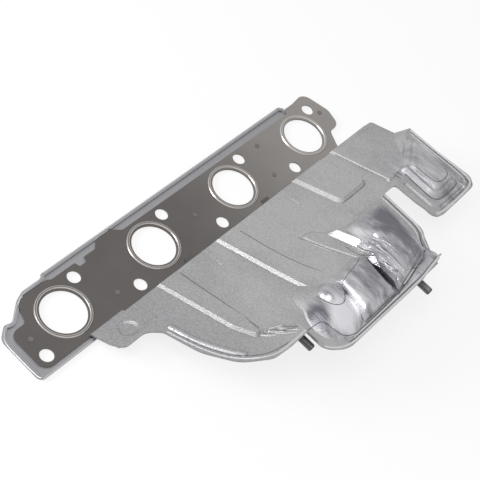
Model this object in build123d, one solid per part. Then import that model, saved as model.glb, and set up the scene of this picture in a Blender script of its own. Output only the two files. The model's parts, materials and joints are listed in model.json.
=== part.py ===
from build123d import *
from math import atan2, cos, radians, sin, tan
import os

os.makedirs("parts", exist_ok=True)

# Frame: origin on the cylinder head face at the middle of the port row.
# +X runs along the port row, +Z points away from the head, +Y to the side
# the cover doesn't reach.

# a corner's rounding takes at most this share of the shorter side
SIDE_SHARE = 0.48

# port row
PITCH = 96.0
PORTS = 4
PORT_R = 17.85
NEAR_HOLE = (-33.5, -18.0)
FAR_HOLE = (26.2, 16.7)
HOLE_R = 5.4
CARRIER_PORT_GAP = 0.4
CARRIER_HOLE_GAP = 0.2
TRAY_PORT_GAP = 0.6
TRAY_HOLE_GAP = 0.3
ROW = [PITCH * (i - (PORTS - 1) / 2) for i in range(PORTS)]

# sheet stack, upwards from the head face
TRAY_T = 0.8
LAYER_T = 0.42
CARRIER_T = 0.56
Z_LOWER = TRAY_T
Z_CARRIER = Z_LOWER + LAYER_T
Z_UPPER = Z_CARRIER + CARRIER_T
Z_FACE = Z_UPPER + LAYER_T

# bead and stopper ring round each port
BEAD_R = 20.4
BEAD_FOOT = 3.4
BEAD_CREST = 1.6
BEAD_H = 0.8
RING_W = 1.6

# small fasteners
RIVET_R = 1.2
RIVET_HEAD_R = 2.0
RIVET_HEAD_T = 0.3
LAYER_RIVETS = [(-178, -2), (-101, -12.5), (0, 0), (88, -12.5), (98.5, 16.6), (177.5, 8)]
GAP = 0.05

# cover: tilted sheet sandwich
TILT = 24.7
HINGE_Y = -25.0
HINGE_Z = Z_FACE + 2.0
SKIN_T = 0.5
MAT_T = 0.8
COVER_T = 2 * SKIN_T + MAT_T
FOLD_Y = -27.0
EAR_FOLD_Y = -25.2
FOLD_R = 2.2
HOOD_Z = Z_FACE + 45.0
RIM_Z = Z_FACE + 31.0
POCKET_Z = Z_FACE + 30.0
HEM = 1.0

# how far the solid dies reach down, and how far the outline cuts up
DEEP = 60.0
TALL = 80.0

# side views of the ground: bends, and how far each stretch runs along X
LEFT_Z = HOOD_Z + 6.0
NEAR_END = -185.0
RIM_FOOT_Y = -137.0
RIM_HEAD_Y = -154.0
LEFT_BEND = 8.0
HOOD_BEND = 12.0
RIM_BENDS = [10.0, 12.0, 7.0]
POCKET_BEND = 10.0
EAR_SPAN = (-165.0, -110.0)
LEFT_SPAN = (-114.0, -30.0)
HOOD_SPAN = (-60.0, 60.0)
RIM_SPAN = (52.0, 150.0)
POCKET_SPAN = (126.0, 235.0)

# ear at the left end, cut above the tray: middle and size in plan
EAR_MIDDLE = (-127.0, -23.0)
EAR_SIZE = (38.0, 9.0)

# tray: (x, y) outline with its lip
TRAY = [
    (-195.0, -30.6), (-195.0, 10.0), (-185.5, 17.6), (-179.5, 15.6), (-165.0, 27.0),
    (-157.0, 30.2), (-139.0, 30.4), (-136.0, 33.0), (147.5, 34.0), (151.0, 30.5),
    (152.0, 23.0), (166.0, 20.0), (169.3, -18.0), (163.0, -32.0),
]
TRAY_CORNERS = [5, 8, 4, 4, 12, 6, 2, 2, 3, 2, 2, 6, 3, 1]
LIP_H = 2.2
LIP_W = 2.8
LIP_END_NEAR = -141.0
LIP_END_FAR = 151.5
TRAY_END = 250.0
GASKET_ROOM = 0.5
SEATS = [(-139.0, -113.0), (-104.0, -80.0), (-50.0, -36.0), (20.0, 56.0), (136.0, 145.0)]
SEAT_W = 11.0
SEAT_RISE = 7.0
SEAT_STRIP_END = 164.0
SEAT_STRIP_UNDER = 3.0
FOLD_LOW = TRAY_T + 0.2
EAR_LOW = Z_FACE + 0.15

# stud brackets and studs
BRACKET_T = 1.2
STUD_R = 3.0
STUD_Z = HOOD_Z - COVER_T - BRACKET_T - STUD_R - 0.2
LEFT_STUD = (-42.9, -127.0)
RIGHT_STUD = (75.2, -157.0)
SHOULDER_R = 3.3
STUD_OUT = 16.2
TIP_CHAMFER = 0.8
HEAD_R = 4.2
HEAD_T = 1.5
COLLAR_R = 4.2
COLLAR_T = 1.5
LEFT_WEB = (-66.0, -31.0, STUD_Z - 9, HOOD_Z + 10)
RIGHT_WEB = (60.0, 112.4, STUD_Z - 9, HOOD_Z - COVER_T - GAP)
LEFT_SEAT = 12.0
RIGHT_SEAT = 4.6
LEFT_SEAT_X = (LEFT_WEB[0] + 2, LEFT_WEB[0] + 16)
RIGHT_SEAT_X = (RIGHT_WEB[0], 100.0)
WEB_CORNER = 5.0
COLLAR_ROOM = 0.4
COLLAR_ROOM_L = 12.0
LEFT_RIVETS = [-60.0, -54.0]
RIGHT_RIVETS = [64.5, 86.0]
SMALL_RIVET_R = 0.9
SMALL_HEAD_R = 1.5

# rivets between tray and cover, clips over the gasket's near edge
SEAT_Y = FOLD_Y - 10.4
TRAY_RIVETS = [-134.0, -97.0, -87.0, -43.0, 28.0, 48.0, 140.5]
SEAT_RIVET_R = 1.6
SEAT_HEAD_R = 2.8
BLIND_HEAD_T = 1.0
CLIPS = [-34.5, 61.0]
CLIP_W = 8.0
CLIP_T = 0.5
CLIP_REACH = 3.6

SLOPE = Plane(
    origin=(0, HINGE_Y, HINGE_Z),
    x_dir=(1, 0, 0),
    z_dir=(0, sin(radians(TILT)), cos(radians(TILT))),
)


def slope_z(y):
    return HINGE_Z + (HINGE_Y - y) * tan(radians(TILT))


def slope_y(z):
    return HINGE_Y - (z - HINGE_Z) / tan(radians(TILT))


def rounded(before, corner, after, radius):
    """Start, middle and end of the arc that rounds a corner."""
    a = Vector(*before) - Vector(*corner)
    b = Vector(*after) - Vector(*corner)
    half = radians(a.get_angle(b)) / 2
    if radius == 0 or half > radians(89.7):
        return [Vector(*corner)]
    reach = min(radius / tan(half), SIDE_SHARE * min(a.length, b.length))
    radius = reach * tan(half)
    middle = (a.normalized() + b.normalized()).normalized() * (radius / sin(half) - radius)
    return [Vector(*corner) + step for step in (a.normalized() * reach, middle, b.normalized() * reach)]


def loop(points, radii=0):
    """A closed outline with rounded corners, as a face."""
    if isinstance(radii, (int, float)):
        radii = [radii] * len(points)
    neighbours = zip(points[-1:] + points[:-1], points, points[1:] + points[:1], radii)
    corners = [rounded(*corner) for corner in neighbours]
    edges = [Edge.make_three_point_arc(*corner) for corner in corners if len(corner) == 3]
    for one, two in zip(corners, corners[1:] + corners[:1]):
        edges.append(Edge.make_line(one[-1], two[0]))
    face = Face(Wire(Wire.combine(edges)[0].edges()))
    return Sketch() + (face if face.normal_at().Z > 0 else -face)


def inset(face, d):
    if abs(d) < 1e-6:
        return face
    return offset(face, -d, kind=Kind.INTERSECTION)


def prism(face, plane, low, high):
    """The outline stretched along the plane's normal from low to high."""
    return extrude(plane.offset(low) * face, high - low, dir=plane.z_dir)


def along_x(face, x0, x1):
    """A (y, z) profile stretched along X."""
    plane = Plane(origin=(x0, 0, 0), x_dir=(0, 1, 0), z_dir=(1, 0, 0))
    return extrude(plane * face, x1 - x0, dir=plane.z_dir)


def frustum(face, plane, low, low_in, high, high_in):
    a = plane.offset(low) * inset(face, low_in)
    b = plane.offset(high) * inset(face, high_in)
    return loft([a, b], ruled=True)


def pad(face, plane, height, run, t, deep=6.0):
    """A raised panel with sloped walls; t is how far below the skin's face."""
    creep = t * tan(atan2(height, run) / 2)
    body = frustum(face, plane, -t, creep, height - t, run + creep)
    return body + prism(inset(face, creep), plane, -t - deep, -t)


# ---------------------------------------------------------------- gasket

GASKET = [
    (-187.5, -26.4),
    (-187.5, 9.8),
    (-172.0, 9.8),
    (-165.5, 27.0),
    (-136.0, 27.0),
    (-133.0, 25.0),
    (-109.0, 25.0),
    (-108.0, 20.6),
    (-101.0, 20.6),
    (-100.0, 24.8),
    (-87.5, 24.8),
    (-81.0, 31.0),
    (-66.5, 31.0),
    (-58.5, 24.6),
    (149.0, 24.6),
    (150.5, 29.0),
    (162.0, 29.0),
    (180.5, 31.5),
    (187.0, 5.0),
    (182.5, -11.0),
    (170.0, -11.0),
    (162.0, -26.4),
]
GASKET_CORNERS = [9, 8, 4, 11, 3, 3, 1.5, 1.5, 1.5, 1.5, 4, 5, 6, 6, 1.5, 1, 8, 9, 10, 8, 6, 4]


def gasket_outline():
    return loop(GASKET, GASKET_CORNERS)


def port_holes(r):
    return Sketch() + [Pos(x, 0) * Circle(r) for x in ROW]


def stud_holes(r):
    near = [Pos(x + NEAR_HOLE[0], NEAR_HOLE[1]) * Circle(r) for x in ROW]
    far = [Pos(x + FAR_HOLE[0], FAR_HOLE[1]) * Circle(r) for x in ROW]
    return Sketch() + near + far


def rivet_holes(r):
    return Sketch() + [Pos(x, y) * Circle(r) for x, y in LAYER_RIVETS]


def ring_section(half_foot, half_crest, low, high):
    """Half section of a ring round the port axis, in the XZ plane."""
    points = [
        (BEAD_R - half_foot, low),
        (BEAD_R - half_crest, high),
        (BEAD_R + half_crest, high),
        (BEAD_R + half_foot, low),
    ]
    return revolve(Plane.XZ * make_face(Polyline(*points, close=True)), Axis.Z)


def gasket_layer(low, thickness, port_r, hole_r):
    face = gasket_outline() - port_holes(port_r) - stud_holes(hole_r) - rivet_holes(RIVET_R + GAP)
    return prism(face, Plane.XY, low, low + thickness)


def upper_layer():
    layer = gasket_layer(Z_UPPER, LAYER_T, PORT_R, HOLE_R)
    arch = ring_section(BEAD_FOOT / 2, BEAD_CREST / 2, Z_UPPER, Z_FACE + BEAD_H)
    hollow = ring_section(BEAD_FOOT / 2 - LAYER_T, BEAD_CREST / 2 - GAP, Z_UPPER, Z_UPPER + BEAD_H)
    for x in ROW:
        layer = layer + Pos(x, 0) * arch
        layer = layer - Pos(x, 0) * hollow
    return layer


def stopper_ring(x):
    r_in = BEAD_R - RING_W / 2 + 2 * GAP
    r_out = BEAD_R + RING_W / 2 - 2 * GAP
    ring = prism(Circle(r_out) - Circle(r_in), Plane.XY, Z_UPPER, Z_UPPER + BEAD_H - GAP)
    return Pos(x, 0) * ring


def layer_rivets():
    rivets = Part()
    for x, y in LAYER_RIVETS:
        shank = prism(Circle(RIVET_R), Plane.XY, Z_LOWER, Z_FACE)
        head = prism(Circle(RIVET_HEAD_R), Plane.XY, Z_FACE, Z_FACE + RIVET_HEAD_T)
        rivets = rivets + Pos(x, y) * (shank + head)
    return rivets


# ----------------------------------------------------------------- cover

COVER_PLAN = [
    (-142.8, -22.0),
    (-141.3, -42.0),
    (-137.5, -52.0),
    (-116.0, -52.0),
    (-108.5, -61.0),
    (-107.6, -92.0),
    (-98.0, -117.0),
    (-80.0, -131.5),
    (-62.0, -133.2),
    (-41.0, -133.0),
    (-40.5, -150.0),
    (-24.0, -161.8),
    (75.0, -162.6),
    (86.0, -161.2),
    (104.0, -159.6),
    (105.5, -150.0),
    (118.0, -141.0),
    (127.6, -133.0),
    (128.2, -89.5),
    (144.0, -89.5),
    (145.5, -112.0),
    (149.5, -132.5),
    (160.0, -134.6),
    (207.5, -134.0),
    (214.0, -126.0),
    (209.6, -92.0),
    (207.8, -62.0),
    (207.2, -52.0),
    (209.4, -27.05),
    (202.5, -27.05),
    (202.5, -22.0),
]
COVER_CORNERS = [
    0, 8, 7, 10, 8, 35, 26, 14, 20, 4, 22, 24, 20, 20, 2, 4, 6, 8, 1,
    4, 30, 9, 8, 8, 7, 20, 20, 20, 7, 0, 0,
]

# raised and sunk forms of the tilted sheet: (x, distance down the slope)
BAND_LEFT = [(-75, 3), (-75.5, 35), (-76.2, 76), (-72, 95), (-66, 95), (-60.8, 76), (-57, 35), (-53.5, 3)]
BAND_MID = [
    (-7, 3), (-9.3, 60), (-9.2, 95), (-14, 109), (-9, 117), (6, 117),
    (14, 104), (14.6, 90), (11.4, 76), (10.6, 56), (11.5, 35), (14.3, 3),
]
PANEL = [(93, 2), (93, 52.5), (131.5, 52.5), (133.5, 2)]
NECK = [(147, 2), (143.2, 66), (201, 66), (201, 2)]
BAND_LEFT_CORNERS = [0, 20, 20, 2.5, 2.5, 20, 20, 0]
BAND_MID_CORNERS = [0, 20, 12, 8, 8, 8, 8, 12, 12, 12, 20, 0]
PANEL_CORNERS = [0, 7, 7, 0]
BAND_MID_DEEP = 16.0
BAND_H = 2.6
BAND_RUN = 1.8
PANEL_H = 2.8
PANEL_RUN = 2.6
NECK_H = 1.8
NECK_RUN = 1.6

# crest of the wall that climbs from the neck to the pocket's flange
POCKET_CREST = [
    (125, -86), (150, -85), (165, -81), (173.5, -77.8), (183.5, -73.6), (191, -68.5),
    (197.5, -62.5), (202, -60), (225, -60), (225, -150), (125, -150),
]
POCKET_CREST_CORNERS = [0, 12, 8, 14, 14, 8, 4, 3, 0, 0, 0]
POCKET_WALL_RUN = 11.0
POCKET_WALL_DROP = 20.0
POCKET_BOX = [(161.5, -83), (161.5, -123.5), (199.5, -123.5), (200.5, -66), (192, -66), (176, -76)]
POCKET_BOX_CORNERS = [4, 10, 8, 4, 3, 6]
POCKET_BOX_H = 4.4
POCKET_BOX_RUN = 3.2
POCKET_LEDGE = 5.6
POCKET_TOP_H = 2.6
POCKET_TOP_RUN = 1.8
POCKET_GROOVE = [
    (151.0, -93.0), (152.0, -126.5), (160.0, -131.2), (200.0, -131.2),
    (200.0, -126.8), (162.0, -126.8), (156.8, -122.5), (155.6, -93.0),
]
POCKET_GROOVE_CORNERS = [2, 6, 4, 2, 2, 3, 3, 2]
GROOVE_DEPTH = 1.3
GROOVE_RUN = 1.4

# hood: two round bulges (x, y, crest above the flange, radius)
BULGES = [(-10.5, -134.5, 7.2, 43.0), (-3.2, -125.5, 9.8, 13.0)]

# hood: the low block between the bulges and the lobe
BLOCK_TOP = HOOD_Z + 7.6
BLOCK_SIDE = [(4.0, HOOD_Z - 2), (9.5, BLOCK_TOP), (41.5, BLOCK_TOP), (47.5, HOOD_Z - 2)]
BLOCK_FAR = [(-114.0, HOOD_Z - 2), (-123.0, BLOCK_TOP)]
BLOCK_SKEW = -8.0
BLOCK_PIVOT_Y = -140.0
BLOCK_REACH = 50.0
CREST_R = 6.0

# hood: near wall shared by block and lobe, down to the flange
NEAR_WALL = [(-149.5, HOOD_Z + 7.0), (-156.8, HOOD_Z - 0.5)]
NEAR_STEP = 1.6
NEAR_WALL_SPAN = (-20.0, 150.0)
LOBE_SKEW = 12.5
LOBE_PIVOT = (53.0, -150.0)

# hood: the tall right-hand lobe, outline as (x, distance down the slope)
LOBE = [(51, 58), (66, 71.5), (130, 71.5), (130, 150), (46, 150), (47, 108), (53, 92)]
LOBE_CORNERS = [6, 4, 0, 0, 6, 10, 10]
LOBE_DEEP = 25.0
LOBE_H = 5.5
LOBE_RUN = 6.0
LOBE_TOP = HOOD_Z + 7.2
LOBE_CROWN = 0.09
LOBE_CROWN_RUN = 70.0
LOBE_SPAN = (-40.0, -190.0)
LOBE_BACK_Y = -60.0
LOBE_WALL = [(93.5, HOOD_Z + 6.0), (113.0, RIM_Z)]
APRON = [(36.5, 50), (37.5, 71), (41, 90), (43.5, 106), (58, 106), (58, 70), (50, 54)]
APRON_CORNERS = [4, 8, 8, 3, 3, 8, 4]
APRON_H = 1.2
APRON_RUN = 2.6

# pleats: crest line's ends as (x, y, z) and the radius of the spindle's middle
PLEATS = [
    ((67.0, -102.0, 49.0), (57.0, -126.0, 56.2), 6.5),
    ((59.0, -117.0, 55.9), (53.5, -150.5, 56.1), 6.5),
    ((75.0, -113.0, 55.4), (64.0, -148.5, 55.6), 7.5),
    ((-64.0, -113.0, 46.4), (-43.0, -127.5, 52.4), 7.0),
]
PLEAT_TAPER = 1.8

# slanted end of the left part, above the flange: (x, z)
LEFT_WALL = [(-55.0, HOOD_Z + 20), (-37.5, HOOD_Z - 2)]

# rim bead along the left edge, and the stiffening dents across the fold
RIM_BEAD = [(-101.4, 40), (-101.0, 62), (-98, 76), (-94.6, 88), (-90.5, 98)]
RIM_BEAD_R = 3.4
RIM_BEAD_H = 1.5
RIM_BEAD_TURN = 20.0
DENTS = [(-22.5, -26.5), (75.0, 72.0)]
DENT_R = 9.5
DENT_DEPTH = 2.6
DENT_LENGTH = 25.0
DENT_LEAD = 6.0
DENT_TIP_R = 0.4
DIMPLE = (-121.6, 17.3)
DIMPLE_R = 8.0
DIMPLE_DEPTH = 1.0
DIMPLE_FLOOR = 2.0
DIMPLE_FLARE = 6.0
DIMPLE_ABOVE = 3.0
DIMPLE_CREEP = 0.2


def slope_loop(points, radii=0):
    return loop([(x, -s) for x, s in points], radii)


def ground(points, radii, span, t):
    """A stretch of the sheet whose side view is the (y, z) profile."""
    x0, x1 = span
    fold = points[0][0]
    points = [(fold, -DEEP)] + points + [(points[-1][0], -DEEP)]
    profile = inset(loop(points, [0] + radii + [0]), t)
    return along_x(profile, x0 + t, x1 - t)


def grounds(t):
    """The sheet's bent stretches, from the ear to the pocket."""
    fold = (FOLD_Y, slope_z(FOLD_Y))
    ear_fold = (EAR_FOLD_Y, slope_z(EAR_FOLD_Y))
    left_bend = (slope_y(LEFT_Z), LEFT_Z)
    left_end = (NEAR_END, LEFT_Z)
    hood_bend = (slope_y(HOOD_Z), HOOD_Z)
    hood_end = (NEAR_END, HOOD_Z)
    rim_bends = [(slope_y(RIM_Z), RIM_Z), (RIM_FOOT_Y, RIM_Z), (RIM_HEAD_Y, HOOD_Z)]
    pocket_bend = (slope_y(POCKET_Z), POCKET_Z)
    pocket_end = (NEAR_END, POCKET_Z)
    r = FOLD_R
    body = ground([ear_fold, left_bend, left_end], [r, LEFT_BEND, 0], EAR_SPAN, t)
    left = ground([fold, left_bend, left_end], [r, LEFT_BEND, 0], LEFT_SPAN, t)
    (x0, z0), (x1, z1) = LEFT_WALL
    side = EAR_SPAN[1] - 10
    wall = loop([(side, -DEEP), (side, z0), (x0, z0), (x1, z1), (x1, -DEEP)])
    body += left & along_y(inset(wall, t), 0, 0, 0, NEAR_END)
    body += ground([fold, hood_bend, hood_end], [r, HOOD_BEND, 0], HOOD_SPAN, t)
    body += ground([fold] + rim_bends + [hood_end], [r] + RIM_BENDS + [0], RIM_SPAN, t)
    body += ground([fold, pocket_bend, pocket_end], [r, POCKET_BEND, 0], POCKET_SPAN, t)
    return body


def wedge_profile(points, base, radius, t):
    """A (y, z) or (x, z) profile that stands on base, inset by t."""
    points = [(points[0][0], base)] + points + [(points[-1][0], base)]
    radii = [0, 0] + [radius] * (len(points) - 4) + [0, 0]
    return inset(loop(points, radii), t)


def level(z):
    return Plane(origin=(0, 0, z))


def pocket_wall(t):
    face = loop(POCKET_CREST, POCKET_CREST_CORNERS)
    slope = atan2(POCKET_WALL_DROP, POCKET_WALL_RUN)
    creep = t * tan(slope / 2)
    inner = inset(face, creep)
    top = level(POCKET_Z - t) * inner
    foot = level(POCKET_Z - t - POCKET_WALL_DROP) * offset(inner, POCKET_WALL_RUN, kind=Kind.INTERSECTION)
    return loft([foot, top], ruled=True)


def along_y(face, x, z, y0, y1):
    """An (x, z) profile stretched along -Y from y0 to y1."""
    plane = Plane(origin=(x, y0, z), x_dir=(1, 0, 0), z_dir=(0, -1, 0))
    return extrude(plane * face, y0 - y1, dir=plane.z_dir)


def near_wall(far_side, top, t):
    """Everything below a level top and behind the hood's stepped near wall."""
    (y0, z0), (y1, z1) = NEAR_WALL
    middle_y = (y0 + y1) / 2
    middle_z = (z0 + z1) / 2
    half = NEAR_STEP / 2
    step = [(middle_y + half, middle_z), (middle_y - half, middle_z)]
    side = far_side + [(y0 + 2, top)] + step + [(y1, z1), (y1, z1 - 1)]
    profile = wedge_profile(side, 0, 0, t)
    return along_x(profile, *NEAR_WALL_SPAN)


def block(t):
    """The low block of the hood, with a skewed left wall."""
    side = wedge_profile(BLOCK_SIDE, 0, CREST_R, t)
    ridge = along_y(side, 0, 0, BLOCK_REACH, -BLOCK_REACH)
    body = Pos(0, BLOCK_PIVOT_Y, 0) * Rot(0, 0, BLOCK_SKEW) * ridge
    return body & near_wall(BLOCK_FAR, BLOCK_TOP, t)


def lobe(t):
    """The tall right-hand lobe: follows the slope, then levels off."""
    body = pad(slope_loop(LOBE, LOBE_CORNERS), SLOPE, LOBE_H, LOBE_RUN, t, deep=LOBE_DEEP)
    (x0, z0), (x1, z1) = LOBE_WALL
    left = x0 - LOBE_CROWN_RUN
    side = [(left, z0 + LOBE_CROWN * LOBE_CROWN_RUN), (x0, z0), (x1, z1), (x1 + 2, z1 - 2)]
    side = inset(loop([(left, 0)] + side + [(x1 + 2, 0)], [0, 0, CREST_R, 0, 0, 0]), t)
    body = body & along_y(side, 0, 0, *LOBE_SPAN)
    wall = near_wall([(LOBE_BACK_Y, LOBE_TOP)], LOBE_TOP, t)
    pivot = Pos(*LOBE_PIVOT)
    return body & (pivot * Rot(0, 0, LOBE_SKEW) * pivot.inverse() * wall)


def bulge(x, y, height, radius, t):
    return Pos(x, y, HOOD_Z + height - radius) * Sphere(radius - t)


def pleat(start, end, radius, t):
    """A crease shaped as a spindle whose ends sink into the sheet."""
    down = Vector(0, 0, -radius)
    start = Vector(*start) + down
    end = Vector(*end) + down
    middle = (start + end) * 0.5
    body = Part()
    for tip in (start, end):
        way = tip - middle
        plane = Plane(origin=middle, z_dir=way.normalized())
        body += Solid.make_cone(radius - t, radius - PLEAT_TAPER - t, way.length, plane)
    return body


def groove(t):
    """The channel that runs round two sides of the pocket's box."""
    face = loop(POCKET_GROOVE, POCKET_GROOVE_CORNERS)
    creep = t * tan(atan2(GROOVE_DEPTH, GROOVE_RUN) / 2)
    plane = level(POCKET_Z)
    body = frustum(face, plane, -GROOVE_DEPTH - t, GROOVE_RUN - creep, -t, -creep)
    return body + prism(inset(face, -creep), plane, -t, 2 * GROOVE_DEPTH)


def dent(x_fold, x_tip, t):
    """A groove across the fold that fades out up the slope."""
    fold = SLOPE.origin + SLOPE.y_dir * -1.0 + SLOPE.z_dir * (DENT_R - DENT_DEPTH)
    tip = SLOPE.origin + SLOPE.y_dir * -DENT_LENGTH
    fold = Vector(x_fold, fold.Y, fold.Z)
    tip = Vector(x_tip, tip.Y, tip.Z)
    way = (tip - fold).normalized()
    start = fold - way * DENT_LEAD
    length = (tip - start).length
    cone = Solid.make_cone(DENT_R + t, DENT_TIP_R + t, length, Plane(origin=start, z_dir=way))
    return Part() + cone


def dimple(t):
    """A shallow round dish in the ear."""
    x, s = DIMPLE
    creep = t * DIMPLE_CREEP
    floor = Pos(x, -s) * Circle(DIMPLE_R - DIMPLE_FLOOR + creep)
    mouth = Pos(x, -s) * Circle(DIMPLE_R + DIMPLE_FLARE + creep)
    low = SLOPE.offset(-DIMPLE_DEPTH - t) * floor
    high = SLOPE.offset(DIMPLE_ABOVE) * mouth
    return loft([low, high], ruled=True)


def bead(t):
    """Rounded bead close to the left edge."""
    r = RIM_BEAD_R
    sink = r - RIM_BEAD_H
    path = SLOPE.offset(-sink) * FilletPolyline(*[(x, -s) for x, s in RIM_BEAD], radius=RIM_BEAD_TURN)
    section = Plane(origin=path @ 0, z_dir=path % 0) * Circle(r - t)
    body = sweep(section, path=path)
    return body + Pos(*(path @ 0)) * Sphere(r - t) + Pos(*(path @ 1)) * Sphere(r - t)


def die(t):
    """Everything below the surface that lies t under the cover's outer face."""
    body = grounds(t)
    body += pad(slope_loop(BAND_LEFT, BAND_LEFT_CORNERS), SLOPE, BAND_H, BAND_RUN, t)
    body += pad(slope_loop(BAND_MID, BAND_MID_CORNERS), SLOPE, BAND_H, BAND_RUN, t, deep=BAND_MID_DEEP)
    body += pad(slope_loop(PANEL, PANEL_CORNERS), SLOPE, PANEL_H, PANEL_RUN, t)
    body += pad(slope_loop(NECK), SLOPE, NECK_H, NECK_RUN, t)
    body += pad(slope_loop(APRON, APRON_CORNERS), SLOPE, APRON_H, APRON_RUN, t)
    body += pocket_wall(t)
    box = loop(POCKET_BOX, POCKET_BOX_CORNERS)
    body += pad(box, level(POCKET_Z), POCKET_BOX_H, POCKET_BOX_RUN, t)
    ledge = inset(box, POCKET_LEDGE)
    body += pad(ledge, level(POCKET_Z + POCKET_BOX_H), POCKET_TOP_H, POCKET_TOP_RUN, t)
    body -= groove(t)
    for x, y, height, radius in BULGES:
        body += bulge(x, y, height, radius, t)
    body += block(t)
    body += lobe(t)
    if t < SKIN_T + MAT_T:
        body += bead(t)
        for start, end, radius in PLEATS:
            body += pleat(start, end, radius, t)
    for x_fold, x_tip in DENTS:
        body -= dent(x_fold, x_tip, t)
    body -= dimple(t)
    return body


def cover_prism(d, low, ear_low):
    face = inset(loop(COVER_PLAN, COVER_CORNERS), d)
    body = prism(face, Plane.XY, low, TALL)
    ear = prism(Pos(*EAR_MIDDLE) * Rectangle(*EAR_SIZE), Plane.XY, -DEEP, ear_low)
    return body - ear


def cover_layers():
    """Outer skin with its hem, insulating mat and inner skin."""
    faces = [die(t) for t in (0, SKIN_T, SKIN_T + MAT_T, COVER_T)]
    whole = cover_prism(0, FOLD_LOW, EAR_LOW)
    inner = cover_prism(HEM, FOLD_LOW + HEM, EAR_LOW + HEM)
    outer = ((faces[0] - faces[3]) & whole) - (faces[1] & inner)
    core = (faces[1] - faces[2]) & inner
    lining = (faces[2] - faces[3]) & inner
    return outer, core, lining


# ------------------------------------------------------------------ tray

def block_between(x0, x1, y0, y1, z0, z1):
    middle = Pos((x0 + x1) / 2, (y0 + y1) / 2, (z0 + z1) / 2)
    return middle * Box(x1 - x0, y1 - y0, z1 - z0)


def tray(under, deeper):
    """Shallow tray under the gasket with a lip and the cover's seat."""
    outline = loop(TRAY, TRAY_CORNERS)
    body = prism(inset(outline, LIP_W - TRAY_T), Plane.XY, 0, LIP_H)
    body += prism(outline, Plane.XY, LIP_H - TRAY_T, LIP_H)
    body -= prism(inset(outline, LIP_W), Plane.XY, TRAY_T, LIP_H + 1)
    body -= prism(inset(gasket_outline(), -GASKET_ROOM), Plane.XY, TRAY_T, LIP_H + 1)
    body -= block_between(LIP_END_NEAR, TRAY_END, FOLD_Y - DEEP, FOLD_Y + 0.5, -DEEP, DEEP)
    body -= block_between(LIP_END_FAR, TRAY_END, -DEEP, DEEP, TRAY_T, DEEP)
    start = SEAT_Y + SEAT_RISE
    end = SEAT_Y
    turn = (COVER_T + GAP) / cos(radians(TILT))
    top = slope_z(end) - turn
    body += block_between(LIP_END_NEAR, SEAT_STRIP_END, start, FOLD_Y + SEAT_STRIP_UNDER, 0, TRAY_T)
    for x0, x1 in SEATS:
        side = [(start + 0.3, 0), (start + 0.3, TRAY_T), (end, top), (end - 1, top - 1), (start - 0.6, 0)]
        riser = along_x(make_face(Polyline(*side, close=True)), x0, x1)
        body += riser & under
        body += (under - deeper) & block_between(x0, x1, end - SEAT_W, end + 1, -10, 30)
    holes = port_holes(PORT_R + TRAY_PORT_GAP) + stud_holes(HOLE_R + TRAY_HOLE_GAP)
    return body - prism(holes, Plane.XY, -1, TRAY_T + 1)


# ------------------------------------------------------ studs and rivets

def stud(x, web_y):
    head = along_y(Circle(HEAD_R), x, STUD_Z, web_y + HEAD_T, web_y)
    front = web_y - BRACKET_T - GAP - COLLAR_T
    shoulder = along_y(Circle(SHOULDER_R), x, STUD_Z, web_y, front)
    thread = along_y(Circle(STUD_R), x, STUD_Z, front, web_y - STUD_OUT)
    tip = thread.edges().sort_by(Axis.Y)[0]
    return head + shoulder + chamfer(tip, TIP_CHAMFER)


def collar(x, web_y):
    face = Circle(COLLAR_R) - Circle(SHOULDER_R + GAP)
    front = web_y - BRACKET_T - GAP
    return along_y(face, x, STUD_Z, front, front - COLLAR_T)


def bracket(under, deeper, web, web_y, stud_x, seat):
    """An angle: its seat follows the lining, its web carries the stud."""
    x0, x1, low, high = web
    outline = loop([(x0, low), (x1, low), (x1, high), (x0, high)], WEB_CORNER)
    plate = along_y(outline, 0, 0, web_y, web_y - BRACKET_T)
    leaf = block_between(*seat, HOOD_Z - 15, HOOD_Z + 15)
    body = (plate & under) + ((under - deeper) & leaf)
    hole = along_y(Circle(SHOULDER_R + GAP), stud_x, STUD_Z, web_y + 1, web_y - BRACKET_T - 1)
    room = along_y(Circle(COLLAR_R + COLLAR_ROOM), stud_x, STUD_Z, web_y - BRACKET_T, web_y - COLLAR_ROOM_L)
    return body - hole - room


def blind_rivet(x, y, below, z, tilted, r, head_r, into):
    """A rivet that joins a seat to the lining and stays hidden above it."""
    lean = TILT if tilted else 0
    shank = prism(Circle(r), Plane.XY, -below, into)
    head = prism(Circle(head_r), Plane.XY, -below - BLIND_HEAD_T, -below)
    return Pos(x, y, z) * Rot(-lean, 0, 0) * (shank + head)


def seat_rivets(spots, seat_t, r, head_r):
    """Rivets through a seat of the given thickness and the inner skin."""
    rivets = Part()
    for x, y, z, tilted in spots:
        rivets += blind_rivet(x, y, seat_t, z, tilted, r, head_r, GAP + SKIN_T)
    return rivets


def clip(x):
    """A small clip that holds the gasket's near edge down on the tray."""
    back = FOLD_Y + GAP
    front = FOLD_Y + GAP + CLIP_T
    reach = FOLD_Y + CLIP_REACH
    low = Z_FACE + GAP
    high = low + CLIP_T
    side = [(front, TRAY_T), (back, TRAY_T), (back, high), (reach, high), (reach, low), (front, low)]
    return along_x(make_face(Polyline(*side, close=True)), x - CLIP_W / 2, x + CLIP_W / 2)


def save(name, shape):
    export_step(shape, f"parts/{name}.step")


save("gasket_lower_layer", gasket_layer(Z_LOWER, LAYER_T, PORT_R, HOLE_R))
carrier = gasket_layer(Z_CARRIER, CARRIER_T, PORT_R + CARRIER_PORT_GAP, HOLE_R + CARRIER_HOLE_GAP)
save("gasket_carrier_layer", carrier)
save("gasket_upper_layer", upper_layer())
for number, x in enumerate(ROW, 1):
    save(f"port_{number}_ring", stopper_ring(x))
save("layer_rivets", layer_rivets())
save("gasket_clips", Part() + [clip(x) for x in CLIPS])

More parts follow.
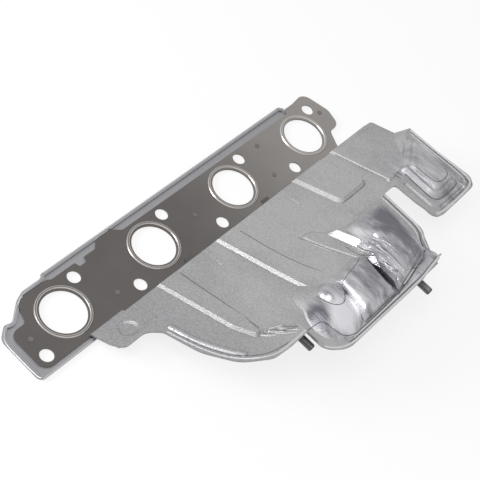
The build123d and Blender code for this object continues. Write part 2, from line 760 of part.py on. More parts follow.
lean = cos(radians(TILT))
under = die(COVER_T + GAP)
seat_drop = (COVER_T + GAP) / lean
tray_y = SEAT_Y - SEAT_W / 2
tray_spots = [(x, tray_y, slope_z(tray_y) - seat_drop, True) for x in TRAY_RIVETS]
left_y = LEFT_STUD[1] + LEFT_SEAT / 2
left_spots = [(x, left_y, slope_z(left_y) - seat_drop, True) for x in LEFT_RIVETS]
right_y = RIGHT_STUD[1] - RIGHT_SEAT / 2
right_spots = [(x, right_y, HOOD_Z - COVER_T - GAP, False) for x in RIGHT_RIVETS]
rivets = seat_rivets(tray_spots, TRAY_T, SEAT_RIVET_R, SEAT_HEAD_R)
stud_rivets = seat_rivets(left_spots + right_spots, BRACKET_T, SMALL_RIVET_R, SMALL_HEAD_R)
rivet_room = seat_rivets(tray_spots, TRAY_T, SEAT_RIVET_R + GAP, SEAT_HEAD_R)
rivet_room += seat_rivets(left_spots + right_spots, BRACKET_T, SMALL_RIVET_R + GAP, SMALL_HEAD_R)
save("tray_rivets", rivets)
save("bracket_rivets", stud_rivets)

save("mounting_tray", tray(under, die(COVER_T + GAP + TRAY_T)) - rivet_room)
deeper = die(COVER_T + GAP + BRACKET_T)
left_seat = (*LEFT_SEAT_X, LEFT_STUD[1] - BRACKET_T, LEFT_STUD[1] + LEFT_SEAT)
right_seat = (*RIGHT_SEAT_X, RIGHT_STUD[1] - RIGHT_SEAT, RIGHT_STUD[1])
left = bracket(under, deeper, LEFT_WEB, LEFT_STUD[1], LEFT_STUD[0], left_seat)
right = bracket(under, deeper, RIGHT_WEB, RIGHT_STUD[1], RIGHT_STUD[0], right_seat)
save("left_stud_bracket", left - rivet_room)
save("right_stud_bracket", right - rivet_room)
save("cover_studs", Part() + [stud(*LEFT_STUD), stud(*RIGHT_STUD)])
save("stud_collars", Part() + [collar(*LEFT_STUD), collar(*RIGHT_STUD)])

outer, core, lining = cover_layers()
save("cover_outer_skin", outer)
save("cover_core_mat", core)
save("cover_inner_skin", lining - rivet_room)
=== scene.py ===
import bpy
import json
import math
import random
from mathutils import Matrix, Vector


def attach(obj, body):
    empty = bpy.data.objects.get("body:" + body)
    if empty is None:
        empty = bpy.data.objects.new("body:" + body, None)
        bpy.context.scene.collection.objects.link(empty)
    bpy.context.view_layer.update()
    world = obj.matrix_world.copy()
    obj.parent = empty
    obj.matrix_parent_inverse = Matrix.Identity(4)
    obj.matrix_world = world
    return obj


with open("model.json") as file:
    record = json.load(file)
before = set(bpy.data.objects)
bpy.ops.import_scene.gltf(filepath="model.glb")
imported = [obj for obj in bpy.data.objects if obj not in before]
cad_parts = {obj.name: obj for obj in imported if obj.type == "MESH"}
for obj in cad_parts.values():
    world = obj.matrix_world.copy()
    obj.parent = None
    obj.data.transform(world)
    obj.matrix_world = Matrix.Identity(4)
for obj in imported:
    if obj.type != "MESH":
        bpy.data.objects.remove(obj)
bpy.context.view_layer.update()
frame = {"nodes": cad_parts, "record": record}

NODES = frame["nodes"]
MOUNTS = {mount["name"]: mount for mount in frame["record"]["mounts"]}
MM = 0.001


# ------------------------------------------------------ parts of a finish

def new_material(name, color, metallic, roughness):
    """A shader with one color, metallic and roughness, until links take their place."""
    mat = bpy.data.materials.new(name)
    mat.use_nodes = True
    shader = mat.node_tree.nodes["Principled BSDF"]
    shader.inputs["Base Color"].default_value = (*color, 1)
    shader.inputs["Metallic"].default_value = metallic
    shader.inputs["Roughness"].default_value = roughness
    return mat, mat.node_tree, shader


def coords(tree):
    return tree.nodes.new("ShaderNodeTexCoord").outputs["Object"]


def axes(tree, where):
    """The place on the part as separate x, y and z."""
    node = tree.nodes.new("ShaderNodeSeparateXYZ")
    tree.links.new(where, node.inputs[0])
    return node.outputs["X"], node.outputs["Y"], node.outputs["Z"]


def noise(tree, where, scale, detail=3.0, rough=0.5):
    node = tree.nodes.new("ShaderNodeTexNoise")
    node.inputs["Scale"].default_value = scale
    node.inputs["Detail"].default_value = detail
    node.inputs["Roughness"].default_value = rough
    tree.links.new(where, node.inputs["Vector"])
    return node.outputs["Fac"]


def ramp(tree, value, low, high, to_low, to_high):
    """A smooth change from to_low to to_high while the value goes from low to high."""
    node = tree.nodes.new("ShaderNodeMapRange")
    node.interpolation_type = "SMOOTHSTEP"
    node.inputs["From Min"].default_value = low
    node.inputs["From Max"].default_value = high
    node.inputs["To Min"].default_value = to_low
    node.inputs["To Max"].default_value = to_high
    tree.links.new(value, node.inputs["Value"])
    return node.outputs["Result"]


def fade(tree, value, span, to_low, to_high):
    """A ramp between two places along an axis, given in mm."""
    low, high = span
    return ramp(tree, value, low * MM, high * MM, to_low, to_high)


def stretched(tree, where, scale):
    node = tree.nodes.new("ShaderNodeMapping")
    node.inputs["Scale"].default_value = scale
    tree.links.new(where, node.inputs["Vector"])
    return node.outputs["Vector"]


def spot(tree, where, center, reach):
    """1 at a place given as (x, y) in mm, falling to 0 at the reach."""
    flat = stretched(tree, where, (1.0, 1.0, 0.0))
    node = tree.nodes.new("ShaderNodeVectorMath")
    node.operation = "DISTANCE"
    tree.links.new(flat, node.inputs[0])
    node.inputs[1].default_value = (center[0] * MM, center[1] * MM, 0)
    return fade(tree, node.outputs["Value"], (0.0, reach), 1.0, 0.0)


def math_node(tree, kind, a, b=0):
    node = tree.nodes.new("ShaderNodeMath")
    node.operation = kind
    for socket, value in zip(node.inputs, (a, b)):
        if isinstance(value, (int, float)):
            socket.default_value = value
        else:
            tree.links.new(value, socket)
    return node.outputs[0]


def times(tree, a, b):
    return math_node(tree, "MULTIPLY", a, b)


def plus(tree, a, b):
    return math_node(tree, "ADD", a, b)


def minus(tree, a, b):
    return math_node(tree, "SUBTRACT", a, b)


def larger(tree, a, b):
    return math_node(tree, "MAXIMUM", a, b)


def mix_color(tree, factor, a, b):
    node = tree.nodes.new("ShaderNodeMix")
    node.data_type = "RGBA"
    tree.links.new(factor, node.inputs["Factor"])
    for socket, value in ((node.inputs[6], a), (node.inputs[7], b)):
        if isinstance(value, tuple):
            socket.default_value = (*value, 1)
        else:
            tree.links.new(value, socket)
    return node.outputs[2]


def bump(tree, shader, height, strength, distance):
    node = tree.nodes.new("ShaderNodeBump")
    node.inputs["Strength"].default_value = strength
    node.inputs["Distance"].default_value = distance
    tree.links.new(height, node.inputs["Height"])
    tree.links.new(node.outputs["Normal"], shader.inputs["Normal"])


def background_rays(tree):
    """1 for the rays that look straight at the background or mirror it."""
    rays = tree.nodes.new("ShaderNodeLightPath").outputs
    seen = larger(tree, rays["Is Camera Ray"], rays["Is Transmission Ray"])
    return larger(tree, seen, rays["Is Glossy Ray"])


# the part of a noise's range in which nearly all of its values lie
NOISE_SPAN = (0.3, 0.7)


# ------------------------------------------------------ the plain finishes

METAL_GRAIN = 900.0
FIBRE_GRAIN = 600.0
CLOUD_SCALE, CLOUD_DETAIL = 40.0, 2.0
TONE_SPREAD = 0.08
GLOSS_SPREAD = 0.06
GRAIN_BUMP, GRAIN_DEPTH = 0.15, 0.1 * MM


def plain_finish(name, color, metallic, roughness, grain):
    """One tone, clouded a little, with a fine grain in its gloss and surface."""
    mat, tree, shader = new_material(name, color, metallic, roughness)
    where = coords(tree)
    fine = noise(tree, where, grain)
    cloud = noise(tree, where, CLOUD_SCALE, CLOUD_DETAIL)
    dark = tuple(c * (1 - TONE_SPREAD) for c in color)
    light = tuple(c * (1 + TONE_SPREAD) for c in color)
    tree.links.new(mix_color(tree, cloud, dark, light), shader.inputs["Base Color"])
    gloss = ramp(tree, fine, *NOISE_SPAN, roughness - GLOSS_SPREAD, roughness + GLOSS_SPREAD)
    tree.links.new(gloss, shader.inputs["Roughness"])
    bump(tree, shader, fine, GRAIN_BUMP, GRAIN_DEPTH)
    return mat


# ------------------------------------- the cover: embossed and drawn sheet

# color, metallic, roughness
COVER_SHADER = ((0.45, 0.45, 0.45), 0.8, 0.45)

# where the drawn sheet, with its painted reflection, begins and ends; each span is a fade, in mm
HOOD_BACK = (-124.0, -112.0)
HOOD_LEFT = (-50.0, -30.0)
HOOD_RIGHT = (100.0, 115.0)
HOOD_FOOT = (47.4, 48.6)
LOBE_BACK = (-100.0, -90.0)
LOBE_LEFT = (50.0, 60.0)
LOBE_RIGHT = (114.0, 120.0)
POCKET_LEFT = (150.0, 165.0)
POCKET_BACK = (-85.0, -60.0)
RIM_SHINE = 0.15
POCKET_SHINE = 0.7

# the emboss and the dents and streaks, as parts of one height
EMBOSS_CELLS = 900.0
EMBOSS_EDGE = 0.6
EMBOSS_WHERE_DRAWN = 0.2
DENT_SCALE, DENT_DETAIL, DENT_HEIGHT = 60.0, 4.0, 3.0
STREAK_STRETCH = (1.0, 0.16, 0.5)
STREAK_NOISE = (260.0, 6.0, 0.68)
STREAK_HEIGHT = 3.5
COVER_BUMP, COVER_DEPTH = 0.4, 0.3 * MM

# the sheet is smoother at the left than at the right, and smoother still where drawn
GLOSS_CHANGE = (60.0, 90.0)
ROUGH_LEFT, ROUGH_RIGHT = 0.47, 0.68
DRAWN_IS_SMOOTHER = 0.25

# tones of the embossed sheet: plain, and darker towards the left end and in patches
FLECK_NOISE = (700.0, 2.0, 0.7)
SHEET_TONES = ((0.34, 0.34, 0.34), (0.43, 0.43, 0.435))
DARK_SHEET_TONES = ((0.24, 0.24, 0.245), (0.34, 0.34, 0.35))
DARK_LEFT_END = (-100.0, -30.0)
DARK_AT_END = 0.8
PATCH_STRETCH = (1.0, 0.45, 1.0)
PATCH_NOISE = (24.0, 5.0, 0.6)
PATCH_SPAN = (0.36, 0.62)
DARK_IN_PATCH = 0.55

# painted reflection of the drawn sheet: dark and light tones, streaked along the draw
PAINTED_REFLECTION_TONES = ((0.14, 0.137, 0.155), (0.66, 0.65, 0.68))
DRAWN_STRETCH = (1.0, 0.3, 0.6)
DRAWN_NOISE = (110.0, 6.0, 0.66)
DRAWN_SPAN = (0.2, 0.86)
# its painted highlights (+) and painted shade (-): (x, y), reach in mm, amount
PAINTED_LIGHT_SPOTS = [
    ((-10.7, -140.9), 20.0, 0.5), ((-25.0, -131.0), 14.0, -0.4), ((8.0, -141.0), 12.0, 0.25),
    ((34.0, -135.0), 26.0, -0.12), ((96.0, -116.0), 34.0, -0.3), ((110.0, -104.0), 24.0, -0.1),
    ((64.0, -103.0), 12.0, 0.2), ((56.0, -140.0), 14.0, 0.1), ((84.0, -136.0), 20.0, -0.15),
    ((82.0, -106.0), 12.0, 0.06), ((-6.0, -124.0), 12.0, -0.2), ((196.0, -84.0), 16.0, 0.2),
]


def drawn_places(tree, x, y, z):
    """1 where the sheet is drawn smooth: the hood, the lobe and the pocket. There its tone is
    painted reflection.
    """
    above_foot = fade(tree, z, HOOD_FOOT, RIM_SHINE, 1.0)
    hood_y = times(tree, fade(tree, y, HOOD_BACK, 1.0, 0.0), above_foot)
    hood_x = times(tree, fade(tree, x, HOOD_LEFT, 0.0, 1.0), fade(tree, x, HOOD_RIGHT, 1.0, 0.0))
    hood = times(tree, hood_x, hood_y)
    inside_hem = fade(tree, x, LOBE_RIGHT, 1.0, RIM_SHINE)
    lobe_x = times(tree, fade(tree, x, LOBE_LEFT, 0.0, 1.0), inside_hem)
    lobe = times(tree, lobe_x, fade(tree, y, LOBE_BACK, 1.0, 0.0))
    pocket_x = fade(tree, x, POCKET_LEFT, 0.0, POCKET_SHINE)
    pocket = times(tree, pocket_x, fade(tree, y, POCKET_BACK, 1.0, 0.0))
    return larger(tree, larger(tree, hood, lobe), pocket)


def cover_height(tree, where, drawn):
    """Emboss, soft dents and, where the sheet is drawn, streaks along the draw."""
    cells = tree.nodes.new("ShaderNodeTexVoronoi")
    cells.inputs["Scale"].default_value = EMBOSS_CELLS
    tree.links.new(where, cells.inputs["Vector"])
    emboss = ramp(tree, cells.outputs["Distance"], 0.0, EMBOSS_EDGE, 1.0, 0.0)
    emboss = times(tree, emboss, ramp(tree, drawn, 0.0, 1.0, 1.0, EMBOSS_WHERE_DRAWN))
    dents = times(tree, noise(tree, where, DENT_SCALE, DENT_DETAIL), DENT_HEIGHT)
    streaks = noise(tree, stretched(tree, where, STREAK_STRETCH), *STREAK_NOISE)
    streaks = times(tree, streaks, ramp(tree, drawn, 0.0, 1.0, 0.0, STREAK_HEIGHT))
    return plus(tree, emboss, plus(tree, dents, streaks))


def cover_material():
    """Embossed sheet, drawn smooth at the hood and the pocket, where its tone is painted
    reflection with painted highlights and shade.
    """
    mat, tree, shader = new_material("cover_aluminium_look", *COVER_SHADER)
    where = coords(tree)
    x, y, z = axes(tree, where)
    drawn = drawn_places(tree, x, y, z)
    bump(tree, shader, cover_height(tree, where, drawn), COVER_BUMP, COVER_DEPTH)

    rough = fade(tree, x, GLOSS_CHANGE, ROUGH_LEFT, ROUGH_RIGHT)
    rough = minus(tree, rough, times(tree, drawn, DRAWN_IS_SMOOTHER))
    tree.links.new(rough, shader.inputs["Roughness"])

    fleck = ramp(tree, noise(tree, where, *FLECK_NOISE), *NOISE_SPAN, 0.0, 1.0)
    sheet = mix_color(tree, fleck, *SHEET_TONES)
    dark_sheet = mix_color(tree, fleck, *DARK_SHEET_TONES)
    # the embossed sheet is darker towards the left end
    left_end = fade(tree, x, DARK_LEFT_END, DARK_AT_END, 0.0)
    patches = noise(tree, stretched(tree, where, PATCH_STRETCH), *PATCH_NOISE)
    patches = ramp(tree, patches, *PATCH_SPAN, DARK_IN_PATCH, 0.0)
    embossed_tone = mix_color(tree, larger(tree, left_end, patches), sheet, dark_sheet)

    # painted reflection on the drawn sheet: light and dark streaks, with spots of painted
    # highlight and painted shade
    tone = noise(tree, stretched(tree, where, DRAWN_STRETCH), *DRAWN_NOISE)
    for center, reach, amount in PAINTED_LIGHT_SPOTS:
        tone = plus(tree, tone, times(tree, spot(tree, where, center, reach), amount))
    painted_reflection = mix_color(tree, ramp(tree, tone, *DRAWN_SPAN, 0.0, 1.0), *PAINTED_REFLECTION_TONES)
    tree.links.new(mix_color(tree, drawn, embossed_tone, painted_reflection), shader.inputs["Base Color"])
    return mat


# ------------------------------------------ the gasket's coated upper layer

PORT_X = MOUNTS["port_1"]["pos_m"][0]
HALF_PITCH = (MOUNTS["port_2"]["pos_m"][0] - PORT_X) / 2
BEAD_RADIUS = MOUNTS["manifold_seal_1"]["pos_m"][0] - PORT_X

# each bead has two painted highlights, one on each flank: how far from its crest they begin and
# end, in mm
LINE_BEGINS = (0.3, 0.7)
LINE_ENDS = (0.9, 1.5)
LINE_SHINE = (0.1, 0.9)
BEAD_HIGHLIGHT_COLOR = (0.6, 0.575, 0.55)

# color, metallic, roughness
COAT_SHADER = ((0.3, 0.28, 0.27), 0.8, 0.33)
COAT_CLOUDS = 30.0
COAT_LEFT_TONES = ((0.1, 0.092, 0.089), (0.135, 0.124, 0.12))
COAT_RIGHT_TONES = ((0.24, 0.225, 0.216), (0.3, 0.285, 0.276))
COAT_CHANGE = (-30.0, 170.0)
COAT_GRAIN = 1500.0
COAT_GLOSS = (0.27, 0.36)


def coated_material():
    """Grey-brown coating, lighter towards the right end, with painted highlights on the flanks of
    the beads.
    """
    mat, tree, shader = new_material("coated_steel_look", *COAT_SHADER)
    where = coords(tree)
    x, y, _ = axes(tree, where)
    along = minus(tree, HALF_PITCH, math_node(tree, "PINGPONG", x, HALF_PITCH))
    square = plus(tree, times(tree, along, along), times(tree, y, y))
    from_port = math_node(tree, "SQRT", square)
    from_crest = math_node(tree, "ABSOLUTE", minus(tree, from_port, BEAD_RADIUS))
    # the two bright lines on each bead are painted highlights
    begins = fade(tree, from_crest, LINE_BEGINS, *LINE_SHINE)
    lines = times(tree, begins, fade(tree, from_crest, LINE_ENDS, 1.0, 0.0))

    cloud = noise(tree, where, COAT_CLOUDS)
    left = mix_color(tree, cloud, *COAT_LEFT_TONES)
    right = mix_color(tree, cloud, *COAT_RIGHT_TONES)
    coat = mix_color(tree, fade(tree, x, COAT_CHANGE, 0.0, 1.0), left, right)
    tree.links.new(mix_color(tree, lines, coat, BEAD_HIGHLIGHT_COLOR), shader.inputs["Base Color"])
    gloss = ramp(tree, noise(tree, where, COAT_GRAIN), *NOISE_SPAN, *COAT_GLOSS)
    tree.links.new(gloss, shader.inputs["Roughness"])
    return mat


# ------------------------------------------------------------ all finishes

# color, metallic, roughness
PLAIN_FINISHES = {
    "gasket_steel": ((0.26, 0.25, 0.24), 0.9, 0.4),
    "carrier_steel": ((0.28, 0.27, 0.26), 0.9, 0.4),
    "ring_steel": ((0.42, 0.42, 0.42), 1.0, 0.3),
    "rivet_steel": ((0.16, 0.15, 0.145), 0.8, 0.4),
    "clip_steel": ((0.1, 0.095, 0.095), 0.8, 0.4),
    "tray_steel": ((0.3, 0.3, 0.315), 0.8, 0.42),
    "bracket_steel": ((0.34, 0.34, 0.355), 0.9, 0.38),
    "stud_zinc": ((0.09, 0.09, 0.085), 0.85, 0.38),
    "collar_zinc": ((0.12, 0.12, 0.115), 0.85, 0.4),
    "mat_fibre": ((0.7, 0.68, 0.62), 0.0, 0.9),
    "lining_aluminium": ((0.4, 0.4, 0.41), 0.85, 0.42),
    "thread": ((0.3, 0.3, 0.29), 0.9, 0.3),
    # painted highlight: a light, glossy tone for the hems, steps and tray edges
    "edge": ((0.55, 0.55, 0.56), 0.9, 0.3),
    # painted shade: a dark tone for lines where walls meet the sheet and for grooves
    "crease": ((0.12, 0.12, 0.125), 0.5, 0.6),
}

LOOKS = {"cover_aluminium": cover_material(), "coated_steel": coated_material()}
for finish, (color, metallic, roughness) in PLAIN_FINISHES.items():
    grain = FIBRE_GRAIN if finish == "mat_fibre" else METAL_GRAIN
    LOOKS[finish] = plain_finish(finish + "_look", color, metallic, roughness, grain)

for part in frame["record"]["subparts"]:
    mesh = NODES[part["node"]].data
    for index in range(len(mesh.materials)):
        mesh.materials[index] = LOOKS[part["material_slot"]]


# ------------------------------------------------------------ added pieces

SMOOTH_UP_TO = math.radians(40)


def finish_piece(item, name, slot, look=None):
    """Names a new piece, gives it its slot's look and puts it on the root."""
    item.name = name
    item.data.materials.clear()
    item.data.materials.append(look or LOOKS[slot])
    bpy.ops.object.shade_smooth_by_angle(angle=SMOOTH_UP_TO)
    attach(item, "root")


THREAD_PITCH = 1.0 * MM
THREAD_RIDGE = 0.45 * MM
THREAD_SINK = 0.05 * MM
THREAD_STEPS = 20
PROFILE_SIDES = 3
LARGEST_HOLE = 4
SAME_POINT = 1e-6


def thread(mount):
    """A helical ridge on the exposed length of a stud that points along -Y."""
    radius = mount["dims"]["r_mm"] * MM
    length = mount["dims"]["length_mm"] * MM
    x, y, z = mount["pos_m"]
    on_flank = (radius - THREAD_SINK, 0, 0)
    bpy.ops.mesh.primitive_circle_add(vertices=PROFILE_SIDES, radius=THREAD_RIDGE,
                                      location=on_flank)
    bpy.ops.object.transform_apply()
    item = bpy.context.object
    screw = item.modifiers.new("helix", "SCREW")
    screw.axis = "Y"
    screw.screw_offset = THREAD_PITCH
    screw.iterations = int((length - 2 * THREAD_PITCH) / THREAD_PITCH)
    screw.steps = THREAD_STEPS
    screw.render_steps = THREAD_STEPS
    bpy.ops.object.modifier_apply(modifier="helix")
    item.location = (x, y - length / 2 + THREAD_PITCH / 2, z)
    bpy.ops.object.transform_apply()
    bpy.ops.object.mode_set(mode="EDIT")
    bpy.ops.mesh.select_all(action="SELECT")
    bpy.ops.mesh.remove_doubles(threshold=SAME_POINT)
    bpy.ops.mesh.fill_holes(sides=LARGEST_HOLE)
    bpy.ops.mesh.normals_make_consistent(inside=False)
    bpy.ops.object.mode_set(mode="OBJECT")
    finish_piece(item, mount["name"] + "_thread", "stud_zinc", LOOKS["thread"])


bpy.ops.object.select_all(action="DESELECT")
for mount in MOUNTS.values():
    if mount["kind"] == "pin":
        thread(mount)

# a path is drawn at this height, clear of the part, and pressed down onto the sheet
ABOVE_PART = 90 * MM
PATH_ORDER, PATH_STEPS = 3, 14
CLOSE_POINTS = 0.2 * MM
ROUND_STEPS = 2
SINK = 0.35


def draped(name, points, radius, slot="cover_aluminium", sink=SINK, look=None,
           under="cover_outer_skin"):
    """A rounded tube along a path given as (x, y) in mm, lying on a sheet: a hem, a fold, or a
    line of painted highlight or painted shade.

    The radius is in mm. The tube's middle lies the radius times sink below the face."""
    bpy.ops.curve.primitive_nurbs_path_add(location=(0, 0, 0))
    spline = bpy.context.object.data.splines[0]
    spline.points.add(max(0, len(points) - len(spline.points)))
    spare = len(spline.points) - len(points)
    for point, (x, y) in zip(spline.points, points + [points[-1]] * spare):
        point.co = (x * MM, y * MM, ABOVE_PART, 1)
    spline.order_u = PATH_ORDER
    spline.use_endpoint_u = True
    spline.resolution_u = PATH_STEPS
    bpy.ops.object.convert(target="MESH")
    wrap = bpy.context.object.modifiers.new("drape", "SHRINKWRAP")
    wrap.target = NODES[under]
    wrap.wrap_method = "PROJECT"
    wrap.use_project_z = True
    wrap.use_negative_direction = True
    wrap.use_positive_direction = False
    bpy.ops.object.modifier_apply(modifier="drape")
    bpy.ops.object.mode_set(mode="EDIT")
    bpy.ops.mesh.select_all(action="SELECT")
    bpy.ops.mesh.remove_doubles(threshold=CLOSE_POINTS)
    bpy.ops.transform.translate(value=(0, 0, -radius * sink * MM))
    bpy.ops.object.mode_set(mode="OBJECT")
    bpy.ops.object.convert(target="CURVE")
    path = bpy.context.object
    path.data.bevel_depth = radius * MM
    path.data.bevel_resolution = ROUND_STEPS
    path.data.use_fill_caps = True
    bpy.ops.object.convert(target="MESH")
    finish_piece(bpy.context.object, name, slot, look)


# --------------------------------------- hems, folds, and lines of painted highlight and painted shade on the sheets

# path as (x, y) in mm, then the radius in mm
HEMS_AND_FOLDS = {
    "hood_hem_near": ([(-38, -148), (-36, -152), (-23.5, -160.4), (0, -160.9), (30, -161.1),
                       (75, -161.4), (86, -160), (103, -158.4)], 1.2),
    "hood_step_near": ([(-14, -158.2), (0, -158.4), (30, -158.5), (60, -158.5),
                        (75, -157.6)], 0.8),
    "hood_step_low": ([(56, -155.0), (75, -152.0), (98, -148.2), (108, -143.5)], 0.9),
    "hood_hem_right": ([(126.6, -90.5), (126.5, -110), (126.2, -132.2), (117.0, -139.6),
                        (107, -147.3)], 1.2),
    "hood_step_right": ([(122.4, -90.5), (122.2, -110), (121.4, -130), (114, -137)], 0.8),
    "pocket_hem": ([(206.2, -62), (208.0, -92), (211.9, -125), (206.2, -132.2),
                    (185, -132.9), (160, -132.9), (151, -130.6)], 1.2),
    "pocket_step": ([(203.0, -64), (204.6, -92), (207.2, -121), (203.5, -127.5)], 0.8),
    "rim_hem_left": ([(-107, -63), (-106.0, -92), (-96.8, -115.6), (-79.3, -130.0),
                      (-62, -131.6), (-44, -131.4)], 0.9),
    "ear_crease": ([(-113, -46.2), (-106, -45.6), (-99, -47)], 0.7),
    "neck_ridge": ([(171, -31), (184, -30.6), (197, -31.4)], 0.6),
    "lobe_fold_1": ([(50.5, -117), (52, -130), (51.5, -143)], 0.8),
    "lobe_fold_2": ([(57, -121), (60, -133), (57.5, -147)], 0.7),
    "lobe_fold_3": ([(65, -110), (70, -121), (70, -134)], 0.7),
    "lobe_fold_4": ([(46.5, -127), (51.5, -133), (54, -141)], 0.9),
    "lobe_fold_5": ([(46.0, -137), (50.5, -142), (54.5, -149)], 0.8),
    "flange_fold_1": ([(-66, -114), (-58, -121), (-50, -128)], 0.8),
    "flange_fold_2": ([(-60, -112), (-52, -117), (-44, -122)], 0.7),
    "pocket_ledge_edge": ([(168.4, -92), (168.6, -108), (171.5, -115), (180, -116.6),
                           (190, -116.0)], 0.6),
}
# lines of painted highlight along the tray's edges
TRAY_EDGES = {
    "tray_edge_left": ([(-192.2, -29.0), (-193.4, -28.0), (-194.2, -24), (-194.4, -8),
                        (-194.3, 7.4), (-189.5, 12.8), (-185.8, 15.9), (-182.4, 15.6)], 0.4),
    "tray_edge_shoulder": ([(-179.0, 15.4), (-175.5, 17.8), (-169, 23.1), (-162.8, 26.8),
                            (-155.6, 29.2), (-139.6, 29.6), (-136.0, 31.4)], 0.4),
    "tray_edge_far": ([(-133.6, 32.3), (-100, 32.5), (0, 32.8), (100, 33.1),
                       (144.0, 33.1)], 0.4),
    "tray_edge_near": ([(-192.0, -29.9), (-175, -30.0), (-158, -30.1), (-143.4, -30.2)], 0.4),
}
# lines of painted shade at the feet of walls, along hems and round the nose, the block and the
# pocket's box
PAINTED_SHADE_LINES = {
    "band_left_line": ([(-52.6, -30.5), (-56, -56.6), (-59.5, -85), (-63.4, -106.8)], 0.35),
    "band_mid_line": ([(15.5, -34.0), (12.8, -56.8), (11.9, -75.8), (12.8, -94.0),
                       (15.5, -106.7)], 0.35),
    "apron_line": ([(37, -70.5), (38.2, -88), (41.6, -106), (43.6, -116)], 0.35),
    "panel_line": ([(94.8, -72.2), (112, -72.6), (128, -72.4), (131, -68.6), (132.4, -50),
                    (133.8, -30)], 0.35),
    "neck_line": ([(147.2, -31.8), (145.5, -56), (143.9, -81.3)], 0.35),
    "hood_line_left": ([(-39, -132), (-29.5, -132.4), (-25.6, -136), (-24.8, -144),
                        (-21, -153), (-12, -157), (-2.4, -158.2)], 0.4),
    "nose_line": ([(-13.5, -118), (-13.8, -126), (-8.5, -134.5), (1.5, -135.5),
                   (7, -130)], 0.4),
    "block_line": ([(12, -123), (24, -121.4), (36, -119.8), (43, -118)], 0.35),
    "hood_line_near": ([(-20, -158.6), (-8, -159.7), (30, -159.8), (75, -160.0),
                        (86, -158.8), (102, -157.2)], 0.55),
    "hood_line_foot": ([(-6, -157.4), (30, -157.3), (60, -156.4), (80, -152.6)], 0.55),
    "hood_line_right": ([(124.8, -90.5), (124.6, -110), (124.2, -131), (115.6, -138.2),
                         (106, -145.4)], 0.6),
    "lobe_line_left": ([(49.5, -103), (47.0, -112), (49.0, -124), (54.5, -136),
                        (55.0, -146)], 0.45),
    "lobe_line_fold": ([(61, -118), (65, -131), (62.5, -145)], 0.4),
    "rim_line_left": ([(-104.4, -64), (-103.5, -91), (-94.6, -113.6), (-78, -128.0),
                       (-62, -129.6)], 0.4),
    "flange_line_1": ([(-63, -112), (-55, -118.5), (-47, -125)], 0.4),
    "pocket_box_line": ([(162, -88), (161.4, -112), (163, -121), (170, -124.2),
                         (190, -124.2), (198.4, -122), (200.2, -112), (200.6, -84)], 0.5),
    "pocket_ledge_line": ([(170.4, -90), (170.8, -107), (174.5, -113.4), (186, -114.0),
                           (192.0, -111), (193.6, -100), (193.8, -84)], 0.45),
    "pocket_hem_line": ([(204.6, -63), (206.4, -92), (209.8, -124), (205.0, -130.2),
                         (186, -131.0)], 0.4),
}
PAINTED_SHADE_SINK = 0.5

for name, (points, radius) in HEMS_AND_FOLDS.items():
    rolled = "hem" in name or "step" in name
    # hems and steps get the painted highlight look
    draped(name, points, radius, look=LOOKS["edge"] if rolled else None)
for name, (points, radius) in TRAY_EDGES.items():
    draped(name, points, radius, slot="tray_steel", look=LOOKS["edge"], under="mounting_tray")
for name, (points, radius) in PAINTED_SHADE_LINES.items():
    draped(name, points, radius, look=LOOKS["crease"], sink=PAINTED_SHADE_SINK)

# groups of crumples: first start, step to the next, direction, length in mm, how many
CRUMPLES = {
    "lobe_crumple": ((52.5, -107.0), (2.6, -1.2), (-0.12, -1.0), 19.0, 8),
    "valley_crumple": ((47.5, -131.0), (1.5, -3.6), (0.85, -0.6), 8.5, 5),
    "flange_crumple": ((-69.0, -110.5), (3.4, -0.6), (0.62, -0.78), 13.0, 6),
    "pocket_crumple": ((196.0, -120.5), (2.3, -1.6), (0.72, -0.7), 6.5, 4),
    "neck_crumple": ((150.5, -83.0), (1.9, 0.4), (0.35, -0.94), 8.0, 4),
}
CRUMPLE_SEED = 11
CRUMPLE_SHARES = (0.0, 0.3, 0.65, 1.0)
CRUMPLE_LENGTHS = (0.6, 1.1)
CRUMPLE_SWAY = (-0.9, 0.9)
CRUMPLE_SHIFT_X = (-0.5, 0.5)
CRUMPLE_SHIFT_Y = (-1.5, 1.5)
RIDGE_RADIUS, RIDGE_SINK = (0.9, 1.3), 0.6
# the crumples' grooves are dark lines of painted shade between the ridges
SHADE_GROOVE_RADIUS, SHADE_GROOVE_SINK = (0.35, 0.45), 0.4


def crumple_path(x, y, way_x, way_y, length):
    """Four points along the direction, each pushed a little to one side."""
    reach = length * random.uniform(*CRUMPLE_LENGTHS)
    points = []
    for share in CRUMPLE_SHARES:
        sway = random.uniform(*CRUMPLE_SWAY)
        points.append((x + way_x * reach * share - way_y * sway,
                       y + way_y * reach * share + way_x * sway))
    return points


random.seed(CRUMPLE_SEED)
for name, ((x, y), (step_x, step_y), (way_x, way_y), length, count) in CRUMPLES.items():
    for number in range(1, count + 1):
        points = crumple_path(x, y, way_x, way_y, length)
        if number % 2:
            radius = random.uniform(*RIDGE_RADIUS)
            draped(f"{name}_{number}", points, radius, sink=RIDGE_SINK)
        else:
            # a dark line of painted shade for a groove
            radius = random.uniform(*SHADE_GROOVE_RADIUS)
            draped(f"{name}_{number}", points, radius, look=LOOKS["crease"], sink=SHADE_GROOVE_SINK)
        x += step_x + random.uniform(*CRUMPLE_SHIFT_X)
        y += step_y + random.uniform(*CRUMPLE_SHIFT_Y)


# --------------------------------------------------------------- the floor

FLOOR_SIZE = 8
FLOOR_GAP = 0.5 * MM
PAPER_SHADER = ((0.9, 0.9, 0.9), 0.0, 0.9)
PAPER_TONES = ((0.89, 0.89, 0.89), (0.91, 0.91, 0.91))
PAPER_CLOUDS = (0.8, 1.0)
# the share of plain white in the floor, as background rays see it
FLOOR_GLOW = 0.8
WHITE = 1.0

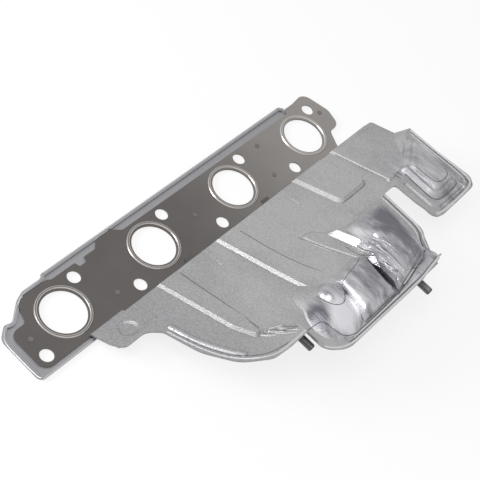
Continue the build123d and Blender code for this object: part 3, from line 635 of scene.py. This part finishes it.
bpy.ops.object.select_all(action="DESELECT")
bpy.ops.mesh.primitive_plane_add(size=FLOOR_SIZE, location=(0, 0, -FLOOR_GAP))
floor = bpy.context.object
floor.name = "floor"
paper, tree, shader = new_material("paper", *PAPER_SHADER)
tone = mix_color(tree, noise(tree, coords(tree), *PAPER_CLOUDS), *PAPER_TONES)
tree.links.new(tone, shader.inputs["Base Color"])
glow = tree.nodes.new("ShaderNodeEmission")
glow.inputs["Strength"].default_value = WHITE
lit = tree.nodes.new("ShaderNodeMixShader")
tree.links.new(times(tree, background_rays(tree), FLOOR_GLOW), lit.inputs[0])
tree.links.new(shader.outputs[0], lit.inputs[1])
tree.links.new(glow.outputs[0], lit.inputs[2])
tree.links.new(lit.outputs[0], tree.nodes["Material Output"].inputs["Surface"])
floor.data.materials.append(paper)


# ---------------------------------------------------------------- the light

LIGHT_AIM = (0, -0.05, 0)
# the sky's strength for light that the part scatters; it is seen as plain white
DIFFUSE_SKY = 0.5


def softbox(name, place, size, power):
    """A rectangular lamp that looks at the middle of the part."""
    lamp = bpy.data.lights.new(name, "AREA")
    lamp.shape = "RECTANGLE"
    lamp.size, lamp.size_y = size
    lamp.energy = power
    item = bpy.data.objects.new(name, lamp)
    bpy.context.collection.objects.link(item)
    way = Vector(LIGHT_AIM) - Vector(place)
    item.location = place
    item.rotation_euler = way.to_track_quat("-Z", "Y").to_euler()


softbox("key", place=(-0.6, 0.1, 1.3), size=(0.8, 0.8), power=8)
softbox("edge", place=(-1.1, 1.0, 0.65), size=(0.7, 0.6), power=20)


world = bpy.data.worlds.new("studio")
bpy.context.scene.world = world
world.use_nodes = True
tree = world.node_tree
sky = tree.nodes["Background"]
seen = tree.nodes.new("ShaderNodeBackground")
for node, strength in ((sky, DIFFUSE_SKY), (seen, WHITE)):
    node.inputs["Color"].default_value = (1, 1, 1, 1)
    node.inputs["Strength"].default_value = strength
pick = tree.nodes.new("ShaderNodeMixShader")
tree.links.new(background_rays(tree), pick.inputs[0])
tree.links.new(sky.outputs[0], pick.inputs[1])
tree.links.new(seen.outputs[0], pick.inputs[2])
tree.links.new(pick.outputs[0], tree.nodes["World Output"].inputs["Surface"])


# --------------------------------------------------------------- the camera

CAMERA_LENS = 88.58
CAMERA_SENSOR = 36
CAMERA_PLACE = (-0.5519, -0.2061, 0.7212)
# the camera's own axes, as directions in the part's frame
CAMERA_RIGHT = Vector((0.62522475, -0.70914235, 0.3259005))
CAMERA_UP = Vector((0.48953095, 0.68156317, 0.54390358))
CAMERA_BACK = Vector((-0.60782684, -0.1805236, 0.77327729))

camera_data = bpy.data.cameras.new("camera")
camera_data.lens = CAMERA_LENS
camera_data.sensor_width = CAMERA_SENSOR
camera = bpy.data.objects.new("camera", camera_data)
bpy.context.collection.objects.link(camera)
turn = Matrix((CAMERA_RIGHT, CAMERA_UP, CAMERA_BACK)).transposed()
camera.matrix_world = Matrix.Translation(CAMERA_PLACE) @ turn.to_4x4()
bpy.context.scene.camera = camera
bpy.context.scene.view_settings.view_transform = "Standard"
